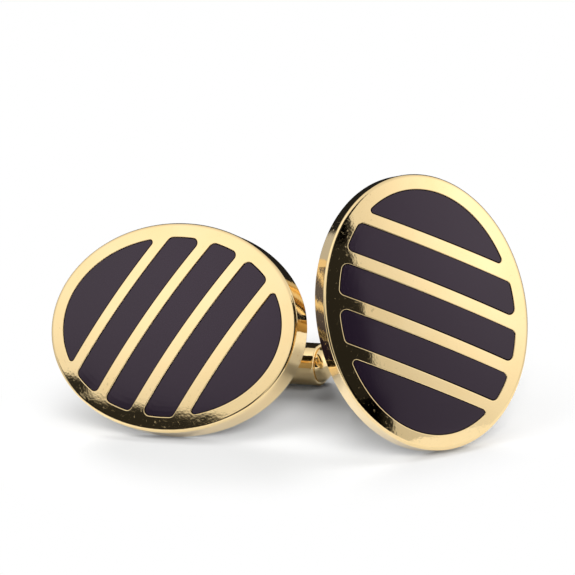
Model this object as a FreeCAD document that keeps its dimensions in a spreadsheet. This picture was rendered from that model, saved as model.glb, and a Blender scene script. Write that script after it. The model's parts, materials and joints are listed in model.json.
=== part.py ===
import FreeCAD, Part
import Sketcher
import math
import os
import re

# A matching pair of swivel-bar cufflinks, resting on a flat surface at z = 0, in millimetres.
# Each cufflink is modelled in its own frame: X along the oval's long axis, Y along its short axis, Z out of
# the front of the face, with the middle of the flat back of the face at the origin. The swivel bar is
# modelled about its pivot, lying along X, and the face is on its +Z side.

SIZES = {
    # domed oval face
    "face_length": 18.0,
    "face_width": 14.0,
    "edge_height": 1.8,
    "dome_rise": 0.9,
    "shoulder_bevel": 0.2,
    "back_bevel": 0.12,
    # enamel cells between the slanting bars
    "border_width": 1.0,
    "bar_pitch": 2.83,
    "bar_width": 0.82,
    "bar_slant": 30.7,
    "cell_corner_radius": 0.38,
    "cell_depth": 0.55,
    "enamel_dip": 0.03,
    "enamel_clearance": 0.01,
    # post behind the face
    "foot_radius": 1.9,
    "foot_height": 0.4,
    "flare_height": 0.6,
    "stem_radius": 0.95,
    "stem_length": 2.6,
    "nose_length": 0.8,
    "nose_tip_radius": 0.45,
    "blade_thickness": 1.1,
    "head_corner_radius": 0.4,
    "eye_wall": 0.32,
    "pin_clearance": 0.03,
    # swivel bar
    "tube_diameter": 2.85,
    "tube_length": 10.2,
    "tube_wall": 0.3,
    "tube_edge_bevel": 0.1,
    "slot_clearance": 0.075,
    "cap_step": 0.2,
    "cap_rise": 0.85,
    "plug_length": 0.9,
    "seat_clearance": 0.01,
    "fold_clearance": 0.3,
    # leaf spring in the swivel bar
    "spring_width": 0.9,
    "spring_thickness": 0.12,
    "spring_bow": 0.13,
    "spring_gap": 0.02,
    # how the pair rests: turn about the vertical in degrees, and the right one's place beside the left one
    "left_turn": -27.0,
    "right_turn": 21.3,
    "pair_gap": 0.67,
    "right_ahead": 8.47,
    # how far every cut runs past what it cuts
    "overrun": 0.5,
}

# Sizes that follow from others, as formulas
HALF_LENGTH = "face_length / 2"
HALF_WIDTH = "face_width / 2"
TOP_HEIGHT = "(edge_height + dome_rise)"
DOME_RADIUS = "((face_length ^ 2 / 4 + dome_rise ^ 2) / (2 * dome_rise))"
CELL_FLOOR = "(edge_height - cell_depth)"
CELL_CUT = "(cell_depth + dome_rise + overrun)"
TUBE_RADIUS = "(tube_diameter / 2)"
TUBE_END = "(tube_length / 2)"
BORE_RADIUS = "(tube_diameter / 2 - tube_wall)"
CAP_RADIUS = "(tube_diameter / 2 - cap_step)"
CAP_SPHERE = f"(({CAP_RADIUS} ^ 2 + cap_rise ^ 2) / (2 * cap_rise))"
TOGGLE_REACH = "(tube_length / 2 + cap_rise)"
SPRING_SEAT = f"(sqrt({BORE_RADIUS} ^ 2 - spring_width ^ 2 / 4) - seat_clearance)"
HEAD_REACH = f"({SPRING_SEAT} - spring_thickness - spring_bow - spring_gap)"
PIN_RADIUS = f"({HEAD_REACH} - eye_wall - pin_clearance)"
SLOT_HALF = "(blade_thickness / 2 + slot_clearance)"
SLOT_FLOOR = f"({HEAD_REACH} + slot_clearance)"
STEM_START = "(foot_height + flare_height)"
STEM_END = f"({STEM_START} + stem_length)"
BLADE_TOP = f"({STEM_END} + nose_length)"
POST_REACH = f"({BLADE_TOP} + fold_clearance + {TOGGLE_REACH})"

CELL_COUNT = 5
SIDES = ("left", "right")
FULL_TURN = 360
HALF_TURN = 180
QUARTER_TURN = 90
SAME_PLACE_SHARE = 1e-4  # of a size: nearer than that, two places count as one

X_AXIS = FreeCAD.Vector(1, 0, 0)
Y_AXIS = FreeCAD.Vector(0, 1, 0)
Z_AXIS = FreeCAD.Vector(0, 0, 1)

doc = FreeCAD.newDocument("cufflinks")
sheet = doc.addObject("Spreadsheet::Sheet", "sizes")
for row, (alias, number) in enumerate(SIZES.items(), start=1):
    sheet.set(f"A{row}", alias)
    sheet.set(f"B{row}", str(number))
    sheet.setAlias(f"B{row}", alias)
doc.recompute()


def formula(text):
    """Points each size's name in a formula at its cell."""
    return re.sub(r"[a-z_]+", lambda word: f"sizes.{word[0]}" if word[0] in SIZES else word[0], text)


def value(text):
    """The number that a formula gives with the sizes of the sheet."""
    return float(sheet.evalExpression(formula(text)))


def bind(item, **formulas):
    """Ties properties to formulas; a double underscore in a name stands for a dot."""
    for name, text in formulas.items():
        item.setExpression(name.replace("__", "."), formula(text))


def shape_of(kind, name, **formulas):
    """A primitive with its sizes tied to formulas."""
    item = doc.addObject(f"Part::{kind}", name)
    bind(item, **formulas)
    return item


def combine(kind, name, base, tool):
    """A cut or a common of two objects."""
    item = doc.addObject(f"Part::{kind}", name)
    item.Base = base
    item.Tool = tool
    return item


def soften(kind, name, base, wanted, size):
    """Rounds or bevels, by a Fillet or a Chamfer, the edges of an object that a test picks out."""
    doc.recompute()
    item = doc.addObject(f"Part::{kind}", name)
    item.Base = base
    numbers = [number for number, edge in enumerate(base.Shape.Edges, start=1) if wanted(edge)]
    item.Edges = [(number, value(size), value(size)) for number in numbers]
    return item


def origin_plane(body, role):
    return next(plane for plane in body.Origin.OriginFeatures if plane.Role == role)


def new_sketch(body, name, plane):
    sketch = body.newObject("Sketcher::SketchObject", name)
    sketch.AttachmentSupport = (origin_plane(body, plane), [""])
    sketch.MapMode = "FlatFace"
    return sketch


def place_point(sketch, geometry, end, across, along):
    """Ties a point of a sketch to formulas for its two coordinates."""
    for kind, axis, text in (("DistanceX", -2, across), ("DistanceY", -1, along)):
        if text == "0":
            sketch.addConstraint(Sketcher.Constraint("PointOnObject", geometry, end, axis))
        else:
            number = sketch.addConstraint(Sketcher.Constraint(kind, -1, 1, geometry, end, value(text)))
            sketch.setExpression(f"Constraints[{number}]", formula(text))


def circles(body, name, plane, across, along, radii):
    """A sketch of circles round one middle."""
    sketch = new_sketch(body, name, plane)
    middle = FreeCAD.Vector(value(across), value(along), 0)
    for radius in radii:
        ring = sketch.addGeometry(Part.Circle(middle, Z_AXIS, value(radius)), False)
        place_point(sketch, ring, 3, across, along)
        number = sketch.addConstraint(Sketcher.Constraint("Radius", ring, value(radius)))
        sketch.setExpression(f"Constraints[{number}]", formula(radius))
    return sketch


def outline(body, name, plane, corners, bends=None):
    """A closed sketch through corners given as formulas.

    A bend makes the edge after its corner an arc: it names the height of the arc's middle, as a formula,
    and which way the arc turns, 1 for anticlockwise and -1 for clockwise.
    """
    sketch = new_sketch(body, name, plane)
    points = [FreeCAD.Vector(value(across), value(along), 0) for across, along in corners]
    starts, ends = [], []
    for index, here in enumerate(points):
        there = points[(index + 1) % len(points)]
        if bends and index in bends:
            text, turn = bends[index]
            height = value(text)
            squares = there.x ** 2 - here.x ** 2 + (there.y - height) ** 2 - (here.y - height) ** 2
            middle = FreeCAD.Vector(squares / (2 * (there.x - here.x)), height, 0)
            ring = Part.Circle(middle, Z_AXIS, (here - middle).Length)
            first, last = (here, there) if turn > 0 else (there, here)
            angles = [math.atan2(point.y - middle.y, point.x - middle.x) for point in (first, last)]
            edge = sketch.addGeometry(Part.ArcOfCircle(ring, *angles), False)
            starts.append((edge, 1 if turn > 0 else 2))
            ends.append((edge, 2 if turn > 0 else 1))
        else:
            edge = sketch.addGeometry(Part.LineSegment(here, there), False)
            starts.append((edge, 1))
            ends.append((edge, 2))
    for index, (across, along) in enumerate(corners):
        sketch.addConstraint(Sketcher.Constraint("Coincident", *ends[index - 1], *starts[index]))
        place_point(sketch, *starts[index], across, along)
    for index, (text, turn) in (bends or {}).items():
        edge = starts[index][0]
        if text == "0":
            sketch.addConstraint(Sketcher.Constraint("PointOnObject", edge, 3, -1))
        else:
            number = sketch.addConstraint(Sketcher.Constraint("DistanceY", -1, 1, edge, 3, value(text)))
            sketch.setExpression(f"Constraints[{number}]", formula(text))
    return sketch


def feature(body, kind, name, sketch, **settings):
    """A PartDesign feature of a sketch; text settings that hold a formula are tied to it."""
    item = body.newObject(f"PartDesign::{kind}", name)
    item.Profile = sketch
    for key, setting in settings.items():
        if key == "Length":
            bind(item, Length=setting)
        else:
            setattr(item, key, setting)
    doc.recompute()
    return item


def oval_prism(name, half_length, half_width, base, height):
    """An upright oval cylinder; the longer half-axis is found from the sizes."""
    oval = shape_of(
        "Ellipse", f"{name}_oval",
        MajorRadius=f"max({half_length}; {half_width})",
        MinorRadius=f"min({half_length}; {half_width})",
        Placement__Rotation__Angle=f"{half_length} >= {half_width} ? 0 : {QUARTER_TURN}",
        Placement__Base__z=base,
    )
    prism = doc.addObject("Part::Extrusion", name)
    prism.Base = oval
    prism.DirMode = "Custom"
    prism.Dir = Z_AXIS
    prism.Solid = True
    bind(prism, LengthFwd=height)
    return prism


def dome(name, drop):
    """An ellipsoid, round about Y and squeezed along it, whose side crowns the oval, lowered by drop."""
    item = shape_of(
        "Ellipsoid", name,
        Radius1=f"{DOME_RADIUS} * face_width / face_length",
        Radius2=DOME_RADIUS,
        Radius3=DOME_RADIUS,
        Placement__Base__z=f"{TOP_HEIGHT} - {DOME_RADIUS} - {drop}",
    )
    item.Placement.Rotation = FreeCAD.Rotation(X_AXIS, QUARTER_TURN)
    return item


def cell_prism(name, index, clearance):
    """One cell's upright prism: the oval inside the border between two slanting bars, corners rounded."""
    inner = oval_prism(
        f"{name}_field",
        f"({HALF_LENGTH} - border_width - {clearance})",
        f"({HALF_WIDTH} - border_width - {clearance})",
        CELL_FLOOR,
        CELL_CUT,
    )
    step = index - CELL_COUNT // 2
    low = f"({step} * bar_pitch - bar_pitch / 2 + bar_width / 2 + {clearance})"
    high = f"({step} * bar_pitch + bar_pitch / 2 - bar_width / 2 - {clearance})"
    if index == 0:
        low = "(-face_length)"
    if index == CELL_COUNT - 1:
        high = "face_length"
    run = "(2 * face_length)"
    slab = shape_of(
        "Box", f"{name}_slab",
        Length=f"{high} - {low}",
        Width=run,
        Height=CELL_CUT,
        Placement__Rotation__Angle="-bar_slant",
        Placement__Base__x=f"{low} * cos(bar_slant) - {run} / 2 * sin(bar_slant)",
        Placement__Base__y=f"-{low} * sin(bar_slant) - {run} / 2 * cos(bar_slant)",
        Placement__Base__z=CELL_FLOOR,
    )
    block = combine("Common", f"{name}_block", inner, slab)
    slant = math.radians(value("bar_slant"))
    walls = [value(low), value(high)]

    def corner(edge):
        """Upright edges where the oval wall meets a bar."""
        first, last = edge.Vertexes[0].Point, edge.Vertexes[-1].Point
        upright = math.hypot(first.x - last.x, first.y - last.y) < SAME_PLACE_SHARE * value("bar_pitch")
        across = first.x * math.cos(slant) - first.y * math.sin(slant)
        return upright and min(abs(across - wall) for wall in walls) < SAME_PLACE_SHARE * value("bar_pitch")

    return soften("Fillet", f"{name}_prism", block, corner, f"cell_corner_radius - {clearance}")


def face_plate(side):
    """Domed oval plate with a bevelled shoulder and back edge, and five cells."""
    name = f"{side}_face_plate"
    blank = combine(
        "Common", f"{name}_blank",
        oval_prism(f"{name}_wall", HALF_LENGTH, HALF_WIDTH, "0", TOP_HEIGHT),
        dome(f"{name}_dome", "0"),
    )

    def level(height):
        """Edges that lie flat at a height."""
        near = SAME_PLACE_SHARE * value("face_length")
        return lambda edge: max(abs(edge.BoundBox.ZMin - height), abs(edge.BoundBox.ZMax - height)) < near

    shoulder = soften("Chamfer", f"{name}_shoulder", blank, level(value("edge_height")), "shoulder_bevel")
    bevelled = soften("Chamfer", f"{name}_bevelled", shoulder, level(0), "back_bevel")
    cells = doc.addObject("Part::MultiFuse", f"{name}_cells")
    cells.Shapes = [cell_prism(f"{name}_cell_{index + 1}", index, "0") for index in range(CELL_COUNT)]
    return combine("Cut", name, bevelled, cells)


def enamel(side):
    """The enamel fillings, a little below the bars."""
    crown = dome(f"{side}_enamel_dome", "enamel_dip")
    fillings = []
    for index in range(CELL_COUNT):
        name = f"{side}_enamel_{index + 1}"
        prism = cell_prism(f"{name}_fill", index, "enamel_clearance")
        fillings.append(combine("Common", name, prism, crown))
    return fillings


def post(side):
    """Turned foot and stem that run into a flat blade with a square cam head and an eye for the pin."""
    body = doc.addObject("PartDesign::Body", f"{side}_post")
    turned = outline(
        body, f"{side}_post_turning", "XZ_Plane",
        [
            ("0", "0"),
            ("foot_radius", "0"),
            ("foot_radius", "-foot_height"),
            ("stem_radius", f"-{STEM_START}"),
            ("stem_radius", f"-{STEM_END}"),
            ("nose_tip_radius", f"-{BLADE_TOP}"),
            ("0", f"-{BLADE_TOP}"),
        ],
    )
    spin_axis = (turned, ["V_Axis"])
    feature(body, "Revolution", f"{side}_post_stem", turned, ReferenceAxis=spin_axis, Angle=FULL_TURN)
    head_end = f"-({POST_REACH} + {HEAD_REACH})"
    corner_height = f"-({POST_REACH} + {HEAD_REACH} - head_corner_radius)"
    flat = outline(
        body, f"{side}_post_flat", "XZ_Plane",
        [
            (HEAD_REACH, f"-{STEM_END}"),
            (f"-{HEAD_REACH}", f"-{STEM_END}"),
            (f"-{HEAD_REACH}", corner_height),
            (f"-({HEAD_REACH} - head_corner_radius)", head_end),
            (f"{HEAD_REACH} - head_corner_radius", head_end),
            (HEAD_REACH, corner_height),
        ],
        {2: (corner_height, 1), 4: (corner_height, 1)},
    )
    feature(body, "Pad", f"{side}_post_blade", flat, SideType="Symmetric", Length="blade_thickness")
    eye_radius = f"{PIN_RADIUS} + pin_clearance"
    eye = circles(body, f"{side}_post_eye_ring", "XZ_Plane", "0", f"-{POST_REACH}", [eye_radius])
    feature(body, "Pocket", f"{side}_post_eye", eye, SideType="Symmetric", Type="ThroughAll")
    return body


def toggle_tube(side):
    """Hollow bar with a slot from the pivot out through one end, and holes for the pin."""
    body = doc.addObject("PartDesign::Body", f"{side}_toggle_tube")
    rings = circles(body, f"{side}_tube_rings", "YZ_Plane", "0", "0", [TUBE_RADIUS, BORE_RADIUS])
    feature(body, "Pad", f"{side}_tube_wall", rings, SideType="Symmetric", Length="tube_length")
    slot = outline(
        body, f"{side}_tube_slot_edge", "XY_Plane",
        [
            (f"-({TUBE_END} + overrun)", f"-{SLOT_HALF}"),
            (HEAD_REACH, f"-{SLOT_HALF}"),
            (f"{HEAD_REACH} + {SLOT_HALF}", "0"),
            (HEAD_REACH, SLOT_HALF),
            (f"-({TUBE_END} + overrun)", SLOT_HALF),
        ],
        {1: ("0", 1), 2: ("0", 1)},
    )
    feature(body, "Pocket", f"{side}_tube_slot", slot, Reversed=True, Length=f"{TUBE_RADIUS} + overrun")
    ring = circles(body, f"{side}_tube_pin_ring", "XZ_Plane", "0", "0", [f"{PIN_RADIUS} + seat_clearance"])
    drilled = feature(body, "Pocket", f"{side}_pin_holes", ring, SideType="Symmetric", Type="ThroughAll")
    mid_wall = value(TUBE_RADIUS) - value("tube_wall") / 2
    rims = []
    for number, edge in enumerate(drilled.Shape.Edges, start=1):
        at_end = abs(abs(edge.CenterOfMass.x) - value(TUBE_END)) < SAME_PLACE_SHARE * value("tube_length")
        if at_end and isinstance(edge.Curve, Part.Circle) and edge.Curve.Radius > mid_wall:
            rims.append(f"Edge{number}")
    bevelled = body.newObject("PartDesign::Chamfer", f"{side}_tube_rims")
    bevelled.Base = (drilled, rims)
    bind(bevelled, Size="tube_edge_bevel")
    return body


def tube_cap(side, kind):
    """Plug with a domed end, narrower than the tube; the slotted one lets the post through when folded."""
    body = doc.addObject("PartDesign::Body", f"{side}_{kind}_cap")
    plug_radius = f"({BORE_RADIUS} - seat_clearance)"
    section = outline(
        body, f"{side}_{kind}_cap_section", "XY_Plane",
        [
            (f"{TUBE_END} - plug_length", "0"),
            (TOGGLE_REACH, "0"),
            (TUBE_END, CAP_RADIUS),
            (TUBE_END, plug_radius),
            (f"{TUBE_END} - plug_length", plug_radius),
        ],
        {1: ("0", 1)},
    )
    spin_axis = (section, ["H_Axis"])
    feature(body, "Revolution", f"{side}_{kind}_turning", section, ReferenceAxis=spin_axis, Angle=FULL_TURN)
    if kind == "slotted":
        gate = outline(
            body, f"{side}_cap_gate", "YZ_Plane",
            [
                (f"-{SLOT_HALF}", f"-{SLOT_FLOOR}"),
                (SLOT_HALF, f"-{SLOT_FLOOR}"),
                (SLOT_HALF, f"{TUBE_RADIUS} + overrun"),
                (f"-{SLOT_HALF}", f"{TUBE_RADIUS} + overrun"),
            ],
        )
        feature(body, "Pocket", f"{side}_cap_slot", gate, SideType="Symmetric", Type="ThroughAll")
    return body


def pivot_pin(side):
    """Cross pin with its ends filed flush with the tube."""
    name = f"{side}_pivot_pin"
    rod = shape_of("Cylinder", f"{name}_rod", Radius=PIN_RADIUS, Height="tube_diameter",
                   Placement__Base__y=TUBE_RADIUS)
    rod.Placement.Rotation = FreeCAD.Rotation(X_AXIS, QUARTER_TURN)
    round_bar = shape_of("Cylinder", f"{name}_flush", Radius=TUBE_RADIUS, Height="tube_length",
                         Placement__Base__x=f"-{TUBE_END}")
    round_bar.Placement.Rotation = FreeCAD.Rotation(Y_AXIS, QUARTER_TURN)
    return combine("Common", name, rod, round_bar)


def leaf_spring(side):
    """Bowed strip that bears on the cam head in the middle and on the tube's bore at both ends."""
    body = doc.addObject("PartDesign::Body", f"{side}_leaf_spring")
    half_span = f"({TUBE_END} - plug_length - seat_clearance)"
    middle_height = f"({HEAD_REACH} + spring_gap)"
    bow_radius = f"(({half_span} ^ 2 + spring_bow ^ 2) / (2 * spring_bow))"
    bow_middle = f"-({middle_height} + {bow_radius})"
    under_share = f"(1 - spring_thickness / {bow_radius})"
    under_span = f"({half_span} * {under_share})"
    under_height = f"({bow_middle} + ({bow_radius} - spring_bow) * {under_share})"
    end_height = f"-({middle_height} + spring_bow)"
    strip = new_sketch(body, f"{side}_spring_strip", "XZ_Plane")
    corners = [
        (half_span, end_height),
        (f"-{half_span}", end_height),
        (f"-{under_span}", under_height),
        (under_span, under_height),
    ]
    points = [FreeCAD.Vector(value(across), value(along), 0) for across, along in corners]
    middle = FreeCAD.Vector(0, value(bow_middle), 0)
    edges = []
    for first, last in ((0, 1), (3, 2)):
        ring = Part.Circle(middle, Z_AXIS, (points[first] - middle).Length)
        angles = [math.atan2(points[index].y - middle.y, points[index].x) for index in (first, last)]
        edges.append(strip.addGeometry(Part.ArcOfCircle(ring, *angles), False))
    for first, last in ((1, 2), (3, 0)):
        edges.append(strip.addGeometry(Part.LineSegment(points[first], points[last]), False))
    upper, lower, left_end, right_end = edges
    meetings = (
        (upper, 2, left_end, 1),
        (left_end, 2, lower, 2),
        (lower, 1, right_end, 1),
        (right_end, 2, upper, 1),
        (upper, 3, lower, 3),
    )
    for meeting in meetings:
        strip.addConstraint(Sketcher.Constraint("Coincident", *meeting))
    place_point(strip, upper, 3, "0", bow_middle)
    place_point(strip, upper, 1, *corners[0])
    place_point(strip, lower, 2, *corners[2])
    for edge, end, across in ((upper, 2, f"-{half_span}"), (lower, 1, under_span)):
        number = strip.addConstraint(Sketcher.Constraint("DistanceX", -1, 1, edge, end, value(across)))
        strip.setExpression(f"Constraints[{number}]", formula(across))
    feature(body, "Pad", f"{side}_spring_width", strip, SideType="Symmetric", Length="spring_width")
    return body


def rim_corners():
    """Both corners of the bevelled back edge: how far in from the rim and in front of the back they are."""
    bevel = value("back_bevel")
    return (0, bevel), (bevel, 0)


def lean(reach, depth, rest):
    """Angle between a face's normal and the vertical when rim and swivel bar both touch the floor.

    Along the lean the rim reaches out by reach more than the swivel bar does. The swivel bar rests on a
    round of radius rest, whose middle lies depth behind the face.
    """
    tilts = []
    for inset, level in rim_corners():
        out, back = reach - inset, depth + level
        tilts.append(math.atan2(back, out) + math.asin(rest / math.hypot(out, back)))
    return math.degrees(min(tilts))


def resting_place(turn, tilt, spin, half, across, along):
    """Placement of a cufflink whose rim, half its size along the lean, touches the floor."""
    angle = math.radians(tilt)
    drops = [(half - inset) * math.sin(angle) - level * math.cos(angle) for inset, level in rim_corners()]
    rotation = (
        FreeCAD.Rotation(Z_AXIS, turn)
        * FreeCAD.Rotation(X_AXIS, tilt)
        * FreeCAD.Rotation(Z_AXIS, spin)
    )
    return FreeCAD.Placement(FreeCAD.Vector(across, along, max(drops)), rotation)


def pair_places():
    """The left one lies along its swivel bar; the right one stands on its end and its slotted cap."""
    depth = value(POST_REACH)
    left_tilt = lean(value(HALF_WIDTH), depth, value(TUBE_RADIUS))
    sphere = value(CAP_SPHERE)
    slot_side = math.sqrt(sphere ** 2 - value(SLOT_HALF) ** 2)
    slot_floor = math.sqrt(sphere ** 2 - value(SLOT_FLOOR) ** 2)
    past_cap = value(HALF_LENGTH) - value(TOGGLE_REACH) + sphere
    right_tilt = max(
        lean(past_cap, depth, slot_side),
        lean(past_cap - slot_floor, depth + value(SLOT_FLOOR), 0),
    )
    left_turn, right_turn = value("left_turn"), value("right_turn")
    across = (
        value(HALF_LENGTH) * math.cos(math.radians(left_turn))
        + value(HALF_WIDTH) * math.cos(math.radians(right_turn))
        + value("pair_gap")
    )
    ahead = -value("right_ahead")
    return {
        "left": resting_place(left_turn, left_tilt, 0, value(HALF_WIDTH), 0, 0),
        "right": resting_place(right_turn, right_tilt, QUARTER_TURN, value(HALF_LENGTH), across, ahead),
    }


# Every sub-part of both cufflinks, each with its place in its own cufflink
to_pivot = FreeCAD.Placement(FreeCAD.Vector(0, 0, -value(POST_REACH)), FreeCAD.Rotation())
turned_round = to_pivot.multiply(FreeCAD.Placement(FreeCAD.Vector(), FreeCAD.Rotation(Z_AXIS, HALF_TURN)))
on_face = FreeCAD.Placement()
pieces = {}
for side in SIDES:
    pieces[side] = [(face_plate(side), on_face), (post(side), on_face)]
    pieces[side] += [(filling, on_face) for filling in enamel(side)]
    pieces[side] += [
        (toggle_tube(side), to_pivot),
        (tube_cap(side, "domed"), to_pivot),
        (tube_cap(side, "slotted"), turned_round),
        (pivot_pin(side), to_pivot),
        (leaf_spring(side), to_pivot),
    ]
doc.recompute()

# The pair at rest, then moved so that the middle of its footprint is the origin
places = pair_places()
for side in SIDES:
    for item, place in pieces[side]:
        item.Label = item.Name
        item.Placement = places[side].multiply(place)
doc.recompute()
box = FreeCAD.BoundBox()
for side in SIDES:
    for item, place in pieces[side]:
        box.add(item.Shape.optimalBoundingBox())
shift = FreeCAD.Placement(FreeCAD.Vector(-box.Center.x, -box.Center.y, 0), FreeCAD.Rotation())
for side in SIDES:
    for item, place in pieces[side]:
        item.Placement = shift.multiply(places[side]).multiply(place)
doc.recompute()

for item in doc.Objects:
    if "Invalid" in item.State or "Error" in item.State:
        raise RuntimeError(f"{item.Label} failed: {item.State}")
nodes = [item for side in SIDES for item, place in pieces[side]]
for item in nodes:
    if item.Shape.isNull() or not item.Shape.isValid() or len(item.Shape.Solids) != 1:
        raise RuntimeError(f"{item.Label} has no single valid solid")

os.makedirs("parts", exist_ok=True)
for item in nodes:
    item.Shape.exportStep(f"parts/{item.Label}.step")

# Where each swivel bar turns, which way its face looks and how large the pair is
for side in SIDES:
    place = shift.multiply(places[side]).multiply(to_pivot)
    across, outward = place.Rotation.multVec(Y_AXIS), place.Rotation.multVec(Z_AXIS)
    print(side, "pivot", list(place.Base), "axis", list(across), "outward", list(outward))
print(len(nodes), "pieces in a box of", box.XLength, box.YLength, box.ZLength, "from", box.ZMin)
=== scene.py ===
import json
import math

import bmesh
import bpy
import numpy as np
from mathutils import Matrix, Vector
from mathutils.geometry import delaunay_2d_cdt


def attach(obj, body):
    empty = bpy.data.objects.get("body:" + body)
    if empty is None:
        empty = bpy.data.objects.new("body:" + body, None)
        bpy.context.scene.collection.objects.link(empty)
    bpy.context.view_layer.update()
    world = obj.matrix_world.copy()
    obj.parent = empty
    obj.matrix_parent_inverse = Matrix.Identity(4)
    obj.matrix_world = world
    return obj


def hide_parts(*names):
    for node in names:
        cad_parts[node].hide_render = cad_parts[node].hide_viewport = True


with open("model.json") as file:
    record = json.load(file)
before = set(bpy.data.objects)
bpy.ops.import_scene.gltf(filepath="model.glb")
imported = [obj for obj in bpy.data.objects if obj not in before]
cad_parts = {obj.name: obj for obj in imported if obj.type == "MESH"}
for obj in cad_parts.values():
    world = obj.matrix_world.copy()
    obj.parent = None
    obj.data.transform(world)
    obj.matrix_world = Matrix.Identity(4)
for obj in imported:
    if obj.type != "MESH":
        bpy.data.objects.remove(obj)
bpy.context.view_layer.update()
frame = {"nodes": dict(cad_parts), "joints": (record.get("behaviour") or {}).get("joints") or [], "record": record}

# A pair of gilt swivel-bar cufflinks with aubergine enamel, on a white studio floor.
# Each cufflink is drawn in millimetres in its own frame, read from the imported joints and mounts:
# X along the oval, Y across it, Z out of the face, origin at the middle of the flat back.

sides = ("left", "right")
mm = 0.001
joints = {joint["name"]: joint for joint in frame["joints"]}
mounts = {mount["name"]: mount for mount in frame["record"]["mounts"]}
materials = {}
patternShift = {"left": 0.0, "right": 60.0}  # so that the two don't share their marks


def cufflinkFrame(side):  # millimetres of one cufflink to metres of the pair
    swivel, grip = joints[f"{side}_toggle_swivel"], mounts[f"{side}_cuff_grip"]
    pivot = Vector(swivel["pos_m"])
    zAxis = -Vector(grip["axis"]).normalized()
    yAxis = Vector(swivel["axis"]).normalized()
    place = Matrix((yAxis.cross(zAxis), yAxis, zAxis)).transposed().to_4x4()
    place.translation = pivot + 2 * (Vector(grip["pos_m"]) - pivot)  # the grip is halfway down the post
    return place @ Matrix.Scale(mm, 4)


frames = {side: cufflinkFrame(side) for side in sides}


def reachOf(node):  # lowest and highest corner of a left-hand CAD node in its cufflink's own frame
    toLocal = frames["left"].inverted()
    points = np.array([toLocal @ vertex.co for vertex in frame["nodes"][f"left_{node}"].data.vertices])
    return points.min(axis=0), points.max(axis=0)


plateLow, plateHigh = reachOf("face_plate")
tubeLow, tubeHigh = reachOf("toggle_tube")
pivotDepth = -(tubeLow[2] + tubeHigh[2]) / 2
print("frame read: face", np.round(plateHigh - plateLow, 2), "mm, pivot", round(pivotDepth, 2),
      "mm behind it")


def linear(hexColour):  # sRGB hex to linear, with alpha
    channels = [int(hexColour[place:place + 2], 16) / 255 for place in (1, 3, 5)]
    return [c / 12.92 if c <= 0.04045 else ((c + 0.055) / 1.055) ** 2.4 for c in channels] + [1.0]


def node(tree, kind, settings=None, **links):  # adds a node; a link is a socket or a value, spaces as _
    made = tree.nodes.new(kind)
    for name, setting in (settings or {}).items():
        setattr(made, name, setting)
    for name, source in links.items():
        found = name.replace("_", " ")
        place = int(found[2:]) if found[:2] == "in" and found[2:].isdigit() else found
        socket = made.inputs[place]
        if isinstance(source, bpy.types.NodeSocket):
            tree.links.new(source, socket)
        else:
            socket.default_value = source
    return made


def newMaterial(name):
    made = bpy.data.materials.new(name)
    made.use_nodes = True
    made.node_tree.nodes.clear()
    materials[name] = made
    return made.node_tree


# Polished gold plating on brass: mirror bright, with a slight swell left by the polishing wheel, a fine
# grain that frays the edges of reflections, and dull specks and smudges. Grain and specks are coarser than
# life, so that they show.
gilt = {
    "colour": "#ffe6b3", "deepColour": "#fcdc9f", "roughness": (0.03, 0.08), "speckRoughness": 0.25,
    "patterns": {  # size in mm, octaves
        "smudge": (2.6, 4.0), "swell": (1.8, 1.0), "grain": (0.16, 2.0), "speck": (0.22, 2.0),
    },
    "swellHeightMm": 0.012, "grainHeightMm": 0.0018,
    "smudgeShares": (0.4, 0.8), "speckShares": (0.62, 0.74),
}


def gildMaterial():
    tree = newMaterial("polishedGoldPlate")
    spot = node(tree, "ShaderNodeAttribute", {"attribute_name": "spot"}).outputs["Vector"]  # millimetres
    marks = {}
    for name, (sizeMm, octaves) in gilt["patterns"].items():
        noise = node(tree, "ShaderNodeTexNoise", Vector=spot, Scale=1 / sizeMm, Detail=octaves)
        marks[name] = noise.outputs["Fac"]
    tone = node(tree, "ShaderNodeMix", {"data_type": "RGBA"}, in0=marks["smudge"],
                in6=linear(gilt["colour"]), in7=linear(gilt["deepColour"])).outputs[2]
    low, high = gilt["roughness"]
    first, last = gilt["smudgeShares"]
    dull = node(tree, "ShaderNodeMapRange", Value=marks["smudge"], From_Min=first, From_Max=last,
                To_Min=low, To_Max=high)
    first, last = gilt["speckShares"]
    speckled = node(tree, "ShaderNodeMapRange", Value=marks["speck"], From_Min=first, From_Max=last,
                    To_Min=dull.outputs[0], To_Max=gilt["speckRoughness"])
    swelling = node(tree, "ShaderNodeBump", Height=marks["swell"], Distance=gilt["swellHeightMm"] * mm)
    grained = node(tree, "ShaderNodeBump", Height=marks["grain"], Distance=gilt["grainHeightMm"] * mm,
                   Normal=swelling.outputs[0])
    shader = node(tree, "ShaderNodeBsdfPrincipled", Base_Color=tone, Metallic=1.0,
                  Roughness=speckled.outputs[0], Normal=grained.outputs[0])
    node(tree, "ShaderNodeOutputMaterial", Surface=shader.outputs[0])


# Fired enamel: opaque aubergine glass, ground flush and glazed, so it has a soft gloss, a faint ripple
# and cloudy depth in its colour. Its grain is coarser than life too.
glaze = {
    "colour": "#170f1a", "paleColour": "#1e1522", "glintTint": "#ffebf6", "roughness": (0.12, 0.17),
    "ior": 1.5, "rippleHeightMm": 0.006,
    "patterns": {"cloud": (3.0, 3.0), "grain": (0.09, 1.0), "ripple": (1.6, 1.0)},  # size in mm, octaves
}


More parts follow.
